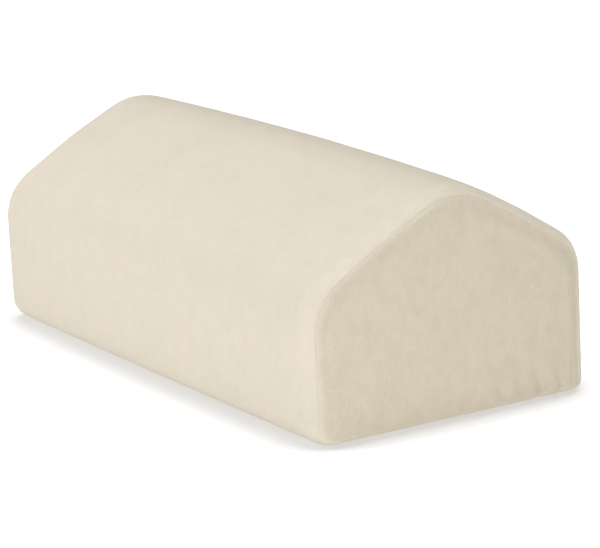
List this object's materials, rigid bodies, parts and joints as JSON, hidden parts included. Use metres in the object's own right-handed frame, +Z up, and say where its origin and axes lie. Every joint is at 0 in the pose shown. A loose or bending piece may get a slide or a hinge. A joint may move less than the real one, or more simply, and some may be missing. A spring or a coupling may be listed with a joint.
{
  "type": "knee elevation pillow",
  "caption": "Long foam wedge with a rounded ridge between two slopes and a flat base, in a sewn pile cover with a panel over each end, for raising the knees.",
  "frame": {"origin": "middle of the flat base, on the surface that the pillow stands on", "axes": "+X along the ridge towards the near end in the picture, -Y the front wall, +Z up"},
  "size_m": [0.54, 0.2716, 0.1925],
  "materials": {
    "wrap_pile": "cream brushed pile cloth, matt with a soft sheen",
    "end_pile": "the same cream brushed pile cloth, its nap lying upright"
  },
  "bodies": {
    "root": {"wedge_body": "wrap_pile", "end_panel_right": "end_pile", "end_panel_left": "end_pile"}
  },
  "joints": []
}
